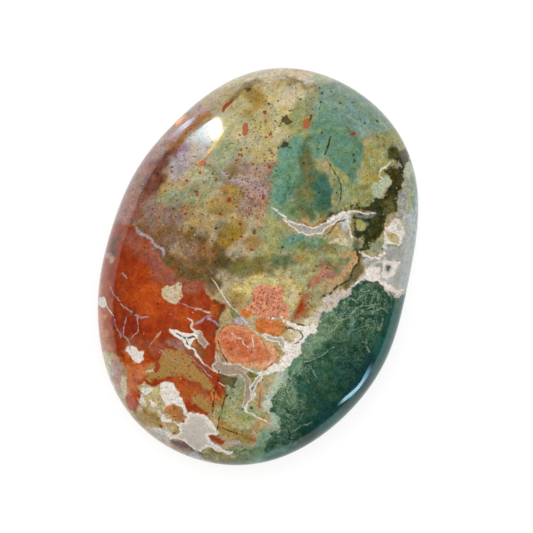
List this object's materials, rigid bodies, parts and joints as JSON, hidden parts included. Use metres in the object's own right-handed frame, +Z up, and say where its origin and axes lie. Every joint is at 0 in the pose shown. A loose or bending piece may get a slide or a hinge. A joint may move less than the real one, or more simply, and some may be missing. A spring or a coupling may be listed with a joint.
{
  "type": "unicorn jasper palm stone",
  "caption": "Flat egg-shaped palm stone of polished unicorn jasper in red, ochre, sage, teal and dark green, resting on a small flat spot.",
  "frame": {"origin": "on the surface that the stone rests on, below the middle of the box around it", "axes": "+Z up through the broad domed face, +Y along the long axis towards the narrower end, +X across"},
  "size_m": [0.0498, 0.0666, 0.022],
  "materials": {
    "jasper": "high polish"
  },
  "bodies": {
    "root": {"palm_stone": "jasper"}
  },
  "joints": []
}
